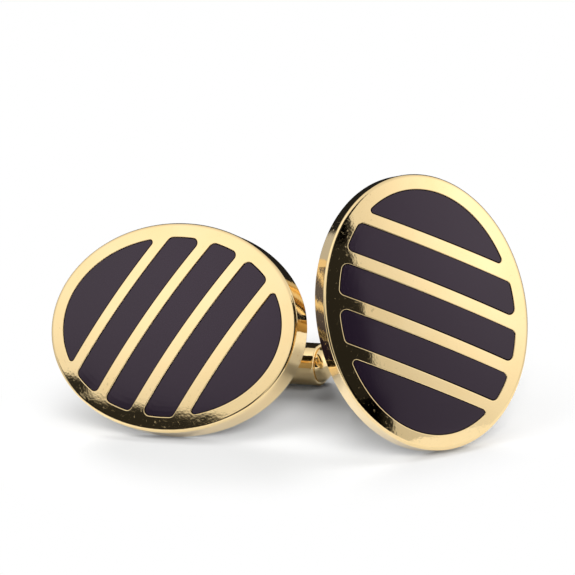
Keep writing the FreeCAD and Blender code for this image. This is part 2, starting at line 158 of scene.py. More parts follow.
def enamelMaterial():
    tree = newMaterial("aubergineEnamel")
    spot = node(tree, "ShaderNodeAttribute", {"attribute_name": "spot"}).outputs["Vector"]
    marks = {}
    for name, (sizeMm, octaves) in glaze["patterns"].items():
        noise = node(tree, "ShaderNodeTexNoise", Vector=spot, Scale=1 / sizeMm, Detail=octaves)
        marks[name] = noise.outputs["Fac"]
    depth = node(tree, "ShaderNodeMath", {"operation": "MULTIPLY"}, in0=marks["cloud"], in1=marks["grain"])
    tone = node(tree, "ShaderNodeMix", {"data_type": "RGBA"}, in0=depth.outputs[0],
                in6=linear(glaze["colour"]), in7=linear(glaze["paleColour"])).outputs[2]
    low, high = glaze["roughness"]
    dull = node(tree, "ShaderNodeMapRange", Value=marks["cloud"], To_Min=low, To_Max=high)
    rippled = node(tree, "ShaderNodeBump", Height=marks["ripple"], Distance=glaze["rippleHeightMm"] * mm)
    shader = node(tree, "ShaderNodeBsdfPrincipled", Base_Color=tone, Roughness=dull.outputs[0],
                  IOR=glaze["ior"], Specular_Tint=linear(glaze["glintTint"]), Normal=rippled.outputs[0])
    node(tree, "ShaderNodeOutputMaterial", Surface=shader.outputs[0])


# Rolled spring steel strip: grey, with a fine mottle from the rolls, coarser than life
strip = {
    "colour": "#7d828a", "darkColour": "#565b63", "roughness": (0.25, 0.4),
    "mottleMm": 0.08, "octaves": 2.0,
}


def springMaterial():
    tree = newMaterial("rolledSpringSteel")
    where = node(tree, "ShaderNodeTexCoord").outputs["Object"]
    mottle = node(tree, "ShaderNodeTexNoise", Vector=where, Scale=1 / (strip["mottleMm"] * mm),
                  Detail=strip["octaves"]).outputs["Fac"]
    tone = node(tree, "ShaderNodeMix", {"data_type": "RGBA"}, in0=mottle,
                in6=linear(strip["colour"]), in7=linear(strip["darkColour"])).outputs[2]
    low, high = strip["roughness"]
    dull = node(tree, "ShaderNodeMapRange", Value=mottle, To_Min=low, To_Max=high)
    shader = node(tree, "ShaderNodeBsdfPrincipled", Base_Color=tone, Metallic=1.0,
                  Roughness=dull.outputs[0])
    node(tree, "ShaderNodeOutputMaterial", Surface=shader.outputs[0])


gildMaterial()
enamelMaterial()
springMaterial()
print("materials ready:", ", ".join(sorted(materials)))


def inScene(name, data):  # a new object in the scene
    made = bpy.data.objects.new(name, data)
    bpy.context.scene.collection.objects.link(made)
    return made


def setInPlace(name, side, mesh, material, body, cadNodes, normals=None):  # a mesh in a cufflink's frame
    places = np.zeros(3 * len(mesh.vertices), dtype=np.float32)
    mesh.vertices.foreach_get("co", places)
    spots = mesh.attributes.new("spot", "FLOAT_VECTOR", "POINT")  # the patterns follow the piece
    spots.data.foreach_set("vector", places + patternShift[side])
    mesh.transform(frames[side])
    mesh.update()
    if normals is not None:
        turn = np.array(frames[side].to_3x3()) / mm
        mesh.normals_split_custom_set_from_vertices((normals @ turn.T).tolist())
    mesh.name = name
    mesh.materials.clear()
    mesh.materials.append(materials[material])
    piece = inScene(name, mesh)
    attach(piece, f"{side}_{body}")
    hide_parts(*[f"{side}_{cadNode}" for cadNode in cadNodes])
    print(name, "has", len(mesh.polygons), "faces")


# The domed oval face
face = {
    "halfLength": float(plateHigh[0]), "halfWidth": float(plateHigh[1]), "domeRise": 0.9, "border": 1.0,
    "roll": 0.5, "rollDegrees": 18.0, "shoulder": 0.17, "backEdge": 0.15, "cells": 5, "cellDepth": 0.55,
    "barPitch": 2.83, "barWidth": 0.82, "barShift": 0.06, "slant": 30.1, "corner": 0.38, "tip": 0.22,
    "cellEdge": 0.06, "fineStep": 0.09, "straightStep": 0.18, "cornerStep": 0.05, "rimStep": 0.14,
    "edgeSteps": 5, "shoulderSteps": 8, "gridStep": 0.42, "gridShare": 0.95, "clearShare": 0.4,
    "mergeShare": 0.05, "samePlace": 1e-7, "halvings": 50,
}
face["edgeHeight"] = float(plateHigh[2]) - face["domeRise"]
face["domeRadius"] = (face["halfLength"] ** 2 + face["domeRise"] ** 2) / (2 * face["domeRise"])
face["domeShare"] = face["halfWidth"] / face["halfLength"]  # the dome is squeezed across the oval
slantAngle = math.radians(face["slant"])
acrossBars = np.array([math.cos(slantAngle), -math.sin(slantAngle)])


def crown(points):  # height of the dome over points of the oval, and its unit normals
    radius, share = face["domeRadius"], face["domeShare"]
    x, y = points[:, 0], points[:, 1] / share
    rise = np.sqrt(radius ** 2 - x ** 2 - y ** 2)
    normals = np.stack([x / rise, y / share / rise, np.ones(len(points))], axis=1)
    normals /= np.linalg.norm(normals, axis=1, keepdims=True)
    return face["edgeHeight"] + face["domeRise"] - radius + rise, normals


def ovalPoints(turns, halfLength, halfWidth):  # points of an oval and its outward normals
    points = np.stack([halfLength * np.cos(turns), halfWidth * np.sin(turns)], axis=1)
    normals = np.stack([np.cos(turns) / halfLength, np.sin(turns) / halfWidth], axis=1)
    return points, normals / np.linalg.norm(normals, axis=1, keepdims=True)


def cellOutline(index, clearance):  # one cell's edge, anticlockwise, and its outward normals
    halfLength = face["halfLength"] - face["border"] - clearance
    halfWidth = face["halfWidth"] - face["border"] - clearance
    corner = face["tip" if index in (0, face["cells"] - 1) else "corner"] - clearance
    step = index - face["cells"] // 2
    half = (face["barPitch"] - face["barWidth"]) / 2 - clearance
    middle = step * face["barPitch"] + face["barShift"]
    furthest = math.atan2(halfWidth * acrossBars[1], halfLength * acrossBars[0])

    def cornerTurn(wall):  # how far round the oval a corner's round touches it, for a bar edge at wall
        low, high = 0.0, math.pi
        for _ in range(face["halvings"]):
            turn = (low + high) / 2
            point, normal = ovalPoints(np.array([furthest + turn]), halfLength, halfWidth)
            low, high = (turn, high) if (point - corner * normal)[0] @ acrossBars > wall else (low, turn)
        return turn

    highTurn = 0.0 if index == face["cells"] - 1 else cornerTurn(middle + half - corner)
    lowTurn = math.pi if index == 0 else cornerTurn(middle - half + corner)
    points, normals = [], []

    def ovalArc(first, last):
        count = max(2, int(abs(last - first) * halfLength / face["fineStep"]))
        arc, outward = ovalPoints(np.linspace(first, last, count), halfLength, halfWidth)
        points.extend(arc)
        normals.extend(outward)

    def roundCorner(turn, wallSide, leaving):  # leaving: from the bar's edge on to the oval
        touch, outward = ovalPoints(np.array([turn]), halfLength, halfWidth)
        middlePoint = touch[0] - corner * outward[0]
        ovalSide = math.atan2(outward[0][1], outward[0][0])
        barSide = math.atan2(wallSide * acrossBars[1], wallSide * acrossBars[0])
        first, last = (barSide, ovalSide) if leaving else (ovalSide, barSide)
        last = first + (last - first) % (2 * math.pi)
        for angle in np.linspace(first, last, max(3, int((last - first) * corner / face["cornerStep"]))):
            outwards = np.array([math.cos(angle), math.sin(angle)])
            points.append(middlePoint + corner * outwards)
            normals.append(outwards)

    if index < face["cells"] - 1:
        roundCorner(furthest + highTurn, 1, True)
    if index > 0:
        ovalArc(furthest + highTurn, furthest + lowTurn)
        roundCorner(furthest + lowTurn, -1, False)
        roundCorner(furthest - lowTurn, -1, True)
        ovalArc(furthest - lowTurn, furthest - highTurn)
    else:
        ovalArc(furthest + highTurn, furthest + 2 * math.pi - highTurn)
    if index < face["cells"] - 1:
        roundCorner(furthest - highTurn, 1, False)
    return evenOut(np.array(points), np.array(normals))


def evenOut(points, normals):  # drops doubled points and divides long straight runs
    keptPoints, keptNormals = [], []
    for here in range(len(points)):
        there = (here + 1) % len(points)
        gap = np.linalg.norm(points[there] - points[here])
        if gap < face["fineStep"] * face["mergeShare"]:
            continue
        parts = max(1, round(gap / face["straightStep"]))
        for part in range(parts):
            share = part / parts
            keptPoints.append(points[here] * (1 - share) + points[there] * share)
            keptNormals.append(normals[here] if share == 0 else normals[here] + normals[there])
    normals = np.array(keptNormals)
    return np.array(keptPoints), normals / np.linalg.norm(normals, axis=1, keepdims=True)


class shell:  # vertices with normals, and faces, gathered ring by ring
    def __init__(self):
        self.points, self.normals, self.faces = [], [], []

    def add(self, points, normals):
        start = sum(len(part) for part in self.points)
        self.points.append(points)
        self.normals.append(normals)
        return np.arange(start, start + len(points))

    def skin(self, upper, lower):  # faces between two rings that run the same way, upper inside lower
        for here in range(len(upper)):
            there = (here + 1) % len(upper)
            self.faces.append((upper[here], lower[here], lower[there], upper[there]))

    def build(self, name, side, material, body, cadNodes):
        mesh = bpy.data.meshes.new(name)
        faces = [tuple(int(corner) for corner in corners) for corners in self.faces]
        mesh.from_pydata(np.concatenate(self.points).tolist(), [], faces)
        mesh.polygons.foreach_set("use_smooth", np.ones(len(mesh.polygons), dtype=bool))
        setInPlace(name, side, mesh, material, body, cadNodes, np.concatenate(self.normals))


def lift(flat, height):  # points of the oval at a height
    return np.column_stack([flat, np.broadcast_to(height, len(flat))])


def sideways(normals, up):  # normals that lean from sideways to upright; up is the sine of the lean
    level = np.sqrt(1 - np.broadcast_to(up, len(normals)) ** 2)
    return np.column_stack([normals * level[:, None], np.broadcast_to(up, len(normals))])


def facePlate(side):
    plate = shell()
    around = int(2 * math.pi * face["halfLength"] / face["rimStep"])
    turns = np.linspace(0, 2 * math.pi, around, endpoint=False)
    rim, outward = ovalPoints(turns, face["halfLength"], face["halfWidth"])

    # the shoulder: a gentle roll off the dome, then a tight edge down to the side wall
    lean = np.arccos(crown(rim * (1 - face["roll"] / face["halfLength"]))[1][:, 2])
    bend = lean + math.radians(face["rollDegrees"])
    arcs = [(face["roll"], lean, bend), (face["shoulder"], bend, np.full(around, math.pi / 2))]
    out = -sum(radius * (np.sin(last) - np.sin(first)) for radius, first, last in arcs)
    contact = rim + out[:, None] * outward
    height = crown(contact)[0]
    shoulderRings = []
    for radius, first, last in arcs:
        startOut, startHeight = out, height
        for share in np.linspace(0, 1, face["shoulderSteps"] + 1):
            if share == 0 and shoulderRings:
                continue
            angle = first + (last - first) * share
            out = startOut + radius * (np.sin(angle) - np.sin(first))
            height = startHeight - radius * (np.cos(first) - np.cos(angle))
            leaning = sideways(outward, np.cos(angle))
            shoulderRings.append(plate.add(lift(rim + out[:, None] * outward, height), leaning))

    # cells: a rolled edge, the wall and a flat floor
    outlines = [cellOutline(index, 0.0) for index in range(face["cells"])]
    edge = face["cellEdge"]
    lips = []
    for points, normals in outlines:
        rings = []
        for share in np.linspace(0, 1, face["edgeSteps"] + 1):
            angle = share * math.pi / 2
            flat = points + edge * (1 - math.sin(angle)) * normals
            height, upright = crown(flat)
            drop = edge * (1 - math.cos(angle))
            bent = math.cos(angle) * upright - math.sin(angle) * lift(normals, 0)
            rings.append(plate.add(lift(flat, height - drop), bent))
        floor = lift(points, face["edgeHeight"] - face["cellDepth"])
        rings.append(plate.add(floor, -lift(normals, 0)))
        middlePoint = floor.mean(axis=0, keepdims=True)
        centre = plate.add(middlePoint, np.array([[0.0, 0.0, 1.0]]))[0]
        for outer, inner in zip(rings, rings[1:]):
            plate.skin(inner, outer)
        last = rings[-1]
        for here in range(len(last)):
            plate.faces.append((centre, last[here], last[(here + 1) % len(last)]))
        lips.append(rings[0])

    # the polished top between the shoulder and the cells
    loops = [shoulderRings[0]] + lips
    gathered = np.concatenate(plate.points)
    flatPoints = [Vector(gathered[index][:2]) for loop in loops for index in loop]
    ids = [index for loop in loops for index in loop]
    edges, start = [], 0
    for loop in loops:
        edges += [(start + here, start + (here + 1) % len(loop)) for here in range(len(loop))]
        start += len(loop)
    spots = np.arange(-face["halfLength"], face["halfLength"], face["gridStep"])
    grid = np.array([(x, y) for x in spots for y in spots])
    outShare = (grid[:, 0] / face["halfLength"]) ** 2 + (grid[:, 1] / face["halfWidth"]) ** 2
    grid = grid[outShare < face["gridShare"]]
    edgePoints = np.array([point[:] for point in flatPoints])
    clear = np.array([np.min(np.sum((edgePoints - spot) ** 2, axis=1)) for spot in grid])
    grid = grid[clear > (face["clearShare"] * face["gridStep"]) ** 2]
    allPoints = flatPoints + [Vector(spot) for spot in grid]
    holed = delaunay_2d_cdt(allPoints, edges, [tuple(range(len(loops[0])))], 0, face["samePlace"])
    made, triangles, origins = holed[0], holed[2], holed[3]
    height, domeNormals = crown(np.array([point[:] for point in made]))
    newIds = []
    for index, point in enumerate(made):
        first = origins[index][0] if origins[index] else len(ids)
        if first < len(ids):
            newIds.append(ids[first])
        else:
            newIds.append(plate.add(np.array([[*point, height[index]]]), domeNormals[index:index + 1])[0])
    middles = np.array([np.mean([made[corner][:] for corner in corners], axis=0) for corners in triangles])
    gold = np.ones(len(triangles), dtype=bool)
    for points, normals in outlines:
        gold &= ~insideLoop(middles, points + edge * normals)
    gold &= insideLoop(middles, contact)
    for keep, corners in zip(gold, triangles):
        if keep:
            plate.faces.append(tuple(newIds[corner] for corner in corners))

    # side wall, back edge and back
    for inner, outer in zip(shoulderRings, shoulderRings[1:]):
        plate.skin(inner, outer)
    last = shoulderRings[-1]
    radius = face["backEdge"]
    for share in np.linspace(0, 1, face["edgeSteps"] + 1):
        angle = share * math.pi / 2
        flat = rim - radius * (1 - math.cos(angle)) * outward
        ring = plate.add(lift(flat, radius * (1 - math.sin(angle))), sideways(outward, -math.sin(angle)))
        plate.skin(last, ring)
        last = ring
    centre = plate.add(np.zeros((1, 3)), np.array([[0.0, 0.0, -1.0]]))[0]
    for here in range(len(last)):
        plate.faces.append((centre, last[(here + 1) % len(last)], last[here]))
    plate.build(f"{side}FacePlate", side, "polishedGoldPlate", "cufflink", ["face_plate"])


def insideLoop(spots, loop):  # which spots lie inside a closed outline, by counting crossings
    inside = np.zeros(len(spots), dtype=bool)
    for here, there in zip(loop, np.roll(loop, -1, axis=0)):
        crosses = (here[1] > spots[:, 1]) != (there[1] > spots[:, 1])
        if crosses.any():
            where = here[0] + (spots[:, 1] - here[1]) / (there[1] - here[1]) * (there[0] - here[0])
            inside ^= crosses & (spots[:, 0] < where)
    return inside


for side in sides:
    facePlate(side)


# Enamel fillings: one node tree fills every outline that it is given and sets the fillings on the dome
filling = {
    "dip": 0.03, "clearance": 0.05, "around": 300, "rings": 16, "mergeMm": 0.002, "sharpDegrees": 50.0,
}


def enamelTree():
    tree = bpy.data.node_groups.new("enamelFillings", "GeometryNodeTree")
    sockets = {
        "Geometry": "Geometry", "Dome Radius": "Float", "Dome Share": "Float", "Dome Top": "Float",
        "Floor Height": "Float", "Around": "Int", "Rings": "Int", "Merge": "Float", "Sharp Angle": "Float",
        "Material": "Material",
    }
    for name, kind in sockets.items():
        tree.interface.new_socket(name, in_out="INPUT", socket_type=f"NodeSocket{kind}")
    tree.interface.new_socket("Geometry", in_out="OUTPUT", socket_type="NodeSocketGeometry")
    given = node(tree, "NodeGroupInput").outputs

    # one grid for each outline: X runs round it, Y from the middle out to the rim, then down the wall and
    # back to the middle of the bottom, which takes two more rows than there are rings
    curves = node(tree, "GeometryNodeMeshToCurve", Mesh=given["Geometry"]).outputs[0]
    size = node(tree, "GeometryNodeAttributeDomainSize", {"component": "CURVE"}, Geometry=curves)
    starts = node(tree, "GeometryNodeMeshLine", Count=size.outputs["Spline Count"], Offset=(0.0, 0.0, 0.0))
    numbered = node(tree, "GeometryNodeCaptureAttribute", Geometry=starts.outputs[0])
    numbered.capture_items.new("INT", "Cell")
    tree.links.new(node(tree, "GeometryNodeInputIndex").outputs[0], numbered.inputs["Cell"])
    rows = node(tree, "ShaderNodeMath", {"operation": "ADD"}, in0=given["Rings"], in1=2.0).outputs[0]
    tall = node(tree, "ShaderNodeMath", {"operation": "ADD"}, in0=rows, in1=1.0).outputs[0]
    wide = node(tree, "ShaderNodeMath", {"operation": "ADD"}, in0=given["Around"], in1=1.0).outputs[0]
    sheet = node(tree, "GeometryNodeMeshGrid", Size_X=1.0, Size_Y=1.0, Vertices_X=wide, Vertices_Y=tall)
    sheets = node(tree, "GeometryNodeInstanceOnPoints", Points=numbered.outputs[0],
                  Instance=sheet.outputs[0])
    real = node(tree, "GeometryNodeRealizeInstances", Geometry=sheets.outputs[0]).outputs[0]

    # each grid point's place on its own outline, drawn in towards the outline's middle (a grid runs from
    # -0.5 to 0.5)
    gridPlace = node(tree, "GeometryNodeInputPosition").outputs[0]
    here = node(tree, "ShaderNodeSeparateXYZ", Vector=gridPlace).outputs
    along = node(tree, "ShaderNodeMath", {"operation": "ADD"}, in0=here["X"], in1=0.5).outputs[0]
    up = node(tree, "ShaderNodeMath", {"operation": "ADD"}, in0=here["Y"], in1=0.5).outputs[0]
    rowPlace = node(tree, "ShaderNodeMath", {"operation": "MULTIPLY"}, in0=up, in1=rows).outputs[0]
    row = node(tree, "ShaderNodeMath", {"operation": "ROUND"}, in0=rowPlace).outputs[0]
    outwards = node(tree, "ShaderNodeMath", {"operation": "DIVIDE"}, in0=row, in1=given["Rings"]).outputs[0]
    inwards = node(tree, "ShaderNodeMath", {"operation": "SUBTRACT"}, in0=rows, in1=row).outputs[0]
    share = node(tree, "ShaderNodeMath", {"operation": "MINIMUM"}, in0=outwards, in1=inwards).outputs[0]
    below = node(tree, "ShaderNodeMath", {"operation": "GREATER_THAN"}, in0=row,
                 in1=given["Rings"]).outputs[0]
    middle = node(tree, "GeometryNodeInputNamedAttribute", {"data_type": "FLOAT_VECTOR"}, Name="middle")
    rim = node(tree, "GeometryNodeSampleCurve", {"mode": "FACTOR", "data_type": "FLOAT_VECTOR"},
               Curves=curves, Value=middle.outputs[0], Factor=along, Curve_Index=numbered.outputs["Cell"])
    flat = node(tree, "ShaderNodeMix", {"data_type": "VECTOR"}, in0=share, in4=rim.outputs["Value"],
                in5=rim.outputs["Position"])
    spot = node(tree, "ShaderNodeSeparateXYZ", Vector=flat.outputs[1]).outputs

    # the dome: an ellipsoid squeezed across the oval
    radius = given["Dome Radius"]
    crosswise = node(tree, "ShaderNodeMath", {"operation": "DIVIDE"}, in0=spot["Y"],
                     in1=given["Dome Share"]).outputs[0]
    flatPlace = node(tree, "ShaderNodeCombineXYZ", X=spot["X"], Y=crosswise).outputs[0]
    out = node(tree, "ShaderNodeVectorMath", {"operation": "LENGTH"}, in0=flatPlace).outputs["Value"]
    outShare = node(tree, "ShaderNodeMath", {"operation": "DIVIDE"}, in0=out, in1=radius).outputs[0]
    turn = node(tree, "ShaderNodeMath", {"operation": "ARCSINE"}, in0=outShare).outputs[0]
    rise = node(tree, "ShaderNodeMath", {"operation": "COSINE"}, in0=turn).outputs[0]
    bottom = node(tree, "ShaderNodeMath", {"operation": "SUBTRACT"}, in0=given["Dome Top"],
                  in1=radius).outputs[0]
    top = node(tree, "ShaderNodeMath", {"operation": "MULTIPLY_ADD"}, in0=rise, in1=radius, in2=bottom)
    height = node(tree, "ShaderNodeMix", {"data_type": "FLOAT"}, in0=below, in2=top.outputs[0],
                  in3=given["Floor Height"])
    place = node(tree, "ShaderNodeCombineXYZ", X=spot["X"], Y=spot["Y"], Z=height.outputs[0])
    domed = node(tree, "GeometryNodeSetPosition", Geometry=real, Position=place.outputs[0])
    closed = node(tree, "GeometryNodeMergeByDistance", Geometry=domed.outputs[0], Distance=given["Merge"])
    angle = node(tree, "GeometryNodeInputMeshEdgeAngle").outputs["Unsigned Angle"]
    soft = node(tree, "ShaderNodeMath", {"operation": "LESS_THAN"}, in0=angle, in1=given["Sharp Angle"])
    smooth = node(tree, "GeometryNodeSetShadeSmooth", {"domain": "EDGE"}, Geometry=closed.outputs[0],
                  Shade_Smooth=soft.outputs[0])
    whole = node(tree, "GeometryNodeRealizeInstances", Geometry=smooth.outputs[0])
    painted = node(tree, "GeometryNodeSetMaterial", Geometry=whole.outputs[0], Material=given["Material"])
    node(tree, "NodeGroupOutput", Geometry=painted.outputs[0])
    return tree


def enamelFillings(side, tree):
    outlines = [cellOutline(index, filling["clearance"])[0] for index in range(face["cells"])]
    mesh = bpy.data.meshes.new(f"{side}Outlines")
    points, edges, middles = [], [], []
    for outline in outlines:
        start = len(points)
        edges += [(start + here, start + (here + 1) % len(outline)) for here in range(len(outline))]
        points += lift(outline, 0.0).tolist()
        middles += [(*outline.mean(axis=0), 0.0)] * len(outline)
    mesh.from_pydata(points, edges, [])
    middle = mesh.attributes.new("middle", "FLOAT_VECTOR", "POINT")
    middle.data.foreach_set("vector", np.array(middles, dtype=np.float32).ravel())
    source = inScene(f"{side}Outlines", mesh)
    modifier = source.modifiers.new("enamelFillings", "NODES")
    modifier.node_group = tree
    values = {
        "Dome Radius": face["domeRadius"], "Dome Share": face["domeShare"],
        "Dome Top": face["edgeHeight"] + face["domeRise"] - filling["dip"],
        "Floor Height": face["edgeHeight"] - face["cellDepth"], "Around": filling["around"],
        "Rings": filling["rings"], "Merge": filling["mergeMm"],
        "Sharp Angle": math.radians(filling["sharpDegrees"]), "Material": materials["aubergineEnamel"],
    }
    for socket in tree.interface.items_tree:
        if socket.in_out == "INPUT" and socket.name in values:
            modifier[socket.identifier] = values[socket.name]
    made = bpy.data.meshes.new_from_object(source.evaluated_get(bpy.context.evaluated_depsgraph_get()))
    source.modifiers.clear()
    bpy.data.objects.remove(source)
    work = bmesh.new()
    work.from_mesh(made)
    bmesh.ops.recalc_face_normals(work, faces=work.faces)
    work.to_mesh(made)
    work.free()
    cadNodes = [f"enamel_{number + 1}" for number in range(face["cells"])]
    setInPlace(f"{side}Enamel", side, made, "aubergineEnamel", "cufflink", cadNodes)


fillingTree = enamelTree()
for side in sides:
    enamelFillings(side, fillingTree)


# Turned and cut pieces behind the face. Each is drawn in millimetres about its own axis, X.
turning = {
    "spins": 144, "arcDegrees": 9.0, "longestRun": 0.5, "sharpDegrees": 26.0, "overrun": 0.5,
    "axisMm": 1e-6,
}


def roundOff(corners, closed):  # corners (x, y, rounding) to points, with an arc at each rounded corner
    points = []
    for index, (x, y, rounding) in enumerate(corners):
        here = np.array([x, y])
        atEnd = not closed and index in (0, len(corners) - 1)
        if rounding == 0 or atEnd:
            points.append(here)
            continue
        before = np.array(corners[index - 1][:2]) - here
        after = np.array(corners[(index + 1) % len(corners)][:2]) - here
        before, after = before / np.linalg.norm(before), after / np.linalg.norm(after)
        half = math.acos(np.clip(before @ after, -1, 1)) / 2
        inward = (before + after) / np.linalg.norm(before + after)
        middle = here + inward * rounding / math.sin(half)
        first = here + before * rounding / math.tan(half) - middle
        last = here + after * rounding / math.tan(half) - middle
        swing = math.pi - 2 * half
        steps = max(2, math.ceil(swing / math.radians(turning["arcDegrees"])))
        for share in np.linspace(0, 1, steps + 1):
            arc = math.sin((1 - share) * swing) * first + math.sin(share * swing) * last
            points.append(middle + arc / math.sin(swing))
    return points


def turned(name, corners, closed=False):  # a mesh turned about X from corners (along, out, rounding)
    points = roundOff(corners, closed)
    profile = []
    for index, here in enumerate(points):
        profile.append(here)
        if closed or index < len(points) - 1:
            there = points[(index + 1) % len(points)]
            parts = math.ceil(np.linalg.norm(there - here) / turning["longestRun"])
            profile += [here + (there - here) * part / parts for part in range(1, parts)]
    work = bmesh.new()
    turns = np.linspace(0, 2 * math.pi, turning["spins"], endpoint=False)
    rings = []
    for along, out in profile:
        onAxis = out < turning["axisMm"]
        around = [(along, out * math.cos(turn), out * math.sin(turn)) for turn in turns]
        rings.append([work.verts.new(spot) for spot in ([(along, 0, 0)] if onAxis else around)])
    for first, second in zip(rings, rings[1:] + (rings[:1] if closed else [])):
        for spin in range(len(turns)):
            after = (spin + 1) % len(turns)
            loop = [first[spin % len(first)], first[after % len(first)],
                    second[after % len(second)], second[spin % len(second)]]
            loop = list(dict.fromkeys(loop))
            if len(loop) > 2:
                work.faces.new(loop)
    return outOf(work, name)


def cylinder(name, radius, half):  # a plain rod about X
    return turned(name, [(-half, 0, 0), (-half, radius, 0), (half, radius, 0), (half, 0, 0)])


def prism(name, corners, low, high, edge=0.0):  # an outline in XY raised from low to high, edges rounded
    outline = np.array(roundOff(corners, True))
    ahead = np.roll(outline, -1, axis=0) - outline
    ahead /= np.linalg.norm(ahead, axis=1, keepdims=True)
    along = ahead + np.roll(ahead, 1, axis=0)
    inward = np.stack([-along[:, 1], along[:, 0]], axis=1) / np.linalg.norm(along, axis=1, keepdims=True)
    steps = math.ceil(90 / turning["arcDegrees"]) if edge else 1
    quarter = [math.radians(90) * step / steps for step in range(steps + 1)] if edge else [0.0]
    levels = [(edge * (1 - math.sin(angle)), edge * (1 - math.cos(angle))) for angle in quarter]
    lower = [(inset, low + up) for inset, up in levels]
    upper = [(inset, high - up) for inset, up in reversed(levels)]
    work = bmesh.new()
    rings = []
    for inset, height in lower + upper:
        rings.append([work.verts.new((*spot, height)) for spot in outline + inset * inward])
    for first, second in zip(rings, rings[1:]):
        for index in range(len(first)):
            after = (index + 1) % len(first)
            work.faces.new((first[index], first[after], second[after], second[index]))
    work.faces.new(rings[0])
    work.faces.new(rings[-1])
    return outOf(work, name)


def outOf(work, name):  # a mesh out of a bmesh, with its faces outwards
    bmesh.ops.recalc_face_normals(work, faces=work.faces)
    mesh = bpy.data.meshes.new(name)
    work.to_mesh(mesh)
    work.free()
    return mesh


def evaluated(mesh, kind, settings):  # a mesh with one modifier applied
    holder = inScene(mesh.name, mesh)
    modifier = holder.modifiers.new(kind, kind)
    for name, setting in settings.items():
        setattr(modifier, name, setting)
    made = bpy.data.meshes.new_from_object(holder.evaluated_get(bpy.context.evaluated_depsgraph_get()))
    bpy.data.objects.remove(holder)
    return made


def combined(mesh, operation, other):  # the union, difference or common part of two closed meshes
    tool = inScene(other.name, other)
    made = evaluated(mesh, "BOOLEAN", {"operation": operation, "solver": "EXACT", "object": tool})
    bpy.data.objects.remove(tool)
    return made


def polished(mesh):  # rounds shade smooth, flats stay flat and sharp corners stay sharp
    work = bmesh.new()
    work.from_mesh(mesh)
    for polygon in work.faces:
        polygon.smooth = True
    for edge in work.edges:
        edge.smooth = edge.calc_face_angle(0.0) < math.radians(turning["sharpDegrees"])
    work.to_mesh(mesh)
    work.free()
    return evaluated(mesh, "WEIGHTED_NORMAL", {"keep_sharp": True})


toDown = Matrix.Rotation(math.radians(90), 4, "Y")  # X turns to -Z, along the post
toAcross = Matrix.Rotation(math.radians(90), 4, "Z")  # X turns to Y, along the pin
toPivot = Matrix.Translation((0, 0, -pivotDepth))
turnedRound = toPivot @ Matrix.Rotation(math.pi, 4, "Z")

# Post: turned foot and stem, flattened to a blade with a square cam head and an eye
post = {
    "footRadius": 1.9, "footHeight": 0.4, "footEdge": 0.12, "flareHeight": 0.6, "flareRound": 0.5,
    "stemRadius": 0.95, "stemLength": 2.6, "noseLength": 0.8, "noseRadius": 0.45, "noseRound": 0.25,
    "thickness": 1.1, "headReach": 0.751, "headCorner": 0.4, "bladeEdge": 0.06, "eyeRadius": 0.431,
}


def makePost(side):
    stemStart = post["footHeight"] + post["flareHeight"]
    stemEnd = stemStart + post["stemLength"]
    noseEnd = stemEnd + post["noseLength"]
    stem = turned("stem", [
        (0, 0, 0), (0, post["footRadius"], 0), (post["footHeight"], post["footRadius"], post["footEdge"]),
        (stemStart, post["stemRadius"], post["flareRound"]),
        (stemEnd, post["stemRadius"], post["noseRound"]),
        (noseEnd, post["noseRadius"], 0), (noseEnd, 0, 0),
    ])
    reach, half = post["headReach"], post["thickness"] / 2
    end = pivotDepth + reach
    blade = prism("blade", [
        (stemStart, -reach, post["bladeEdge"]), (end, -reach, post["headCorner"]),
        (end, reach, post["headCorner"]), (stemStart, reach, post["bladeEdge"]),
    ], -half, half, post["bladeEdge"])
    blade.transform(Matrix.Rotation(math.radians(90), 4, "X"))  # its flat sides face along the pin
    eye = cylinder("eye", post["eyeRadius"], post["thickness"])
    eye.transform(Matrix.Translation((pivotDepth, 0, 0)) @ toAcross)
    whole = combined(combined(stem, "UNION", blade), "DIFFERENCE", eye)
    whole.transform(toDown)
    setInPlace(f"{side}Post", side, polished(whole), "polishedGoldPlate", "cufflink", ["post"])


# Swivel bar: slotted tube, two plugs and the cross pin, all about the pivot
bar = {
    "radius": float(tubeHigh[1]), "halfLength": float(tubeHigh[0]), "wall": 0.3, "rimRound": 0.1,
    "boreEdge": 0.03, "slotHalf": 0.625, "slotEnd": 0.751, "slotRoundShare": 0.999, "pinRadius": 0.401,
    "pinHole": 0.411, "capStep": 0.2, "capRise": 0.85, "capEdge": 0.05, "capArcDegrees": 4.5,
    "plugLength": 0.9, "plugClearance": 0.01, "gateFloor": 0.826,
}


def makeTube(side):
    radius, bore, end = bar["radius"], bar["radius"] - bar["wall"], bar["halfLength"]
    tube = turned("tube", [
        (-end, bore, bar["boreEdge"]), (-end, radius, bar["rimRound"]), (end, radius, bar["rimRound"]),
        (end, bore, bar["boreEdge"]),
    ], closed=True)
    half, tip = bar["slotHalf"], bar["slotEnd"] + bar["slotHalf"]
    tipRound = half * bar["slotRoundShare"]  # just under a half circle, so that a flat is left
    openEnd, long = -end - turning["overrun"], radius + turning["overrun"]
    slot = prism("slot", [
        (openEnd, -half, 0), (tip, -half, tipRound), (tip, half, tipRound), (openEnd, half, 0),
    ], 0.0, long)
    hole = cylinder("hole", bar["pinHole"], long)
    hole.transform(toAcross)
    whole = combined(combined(tube, "DIFFERENCE", slot), "DIFFERENCE", hole)
    whole.transform(toPivot)
    setInPlace(f"{side}SwivelTube", side, polished(whole), "polishedGoldPlate", "toggle", ["toggle_tube"])


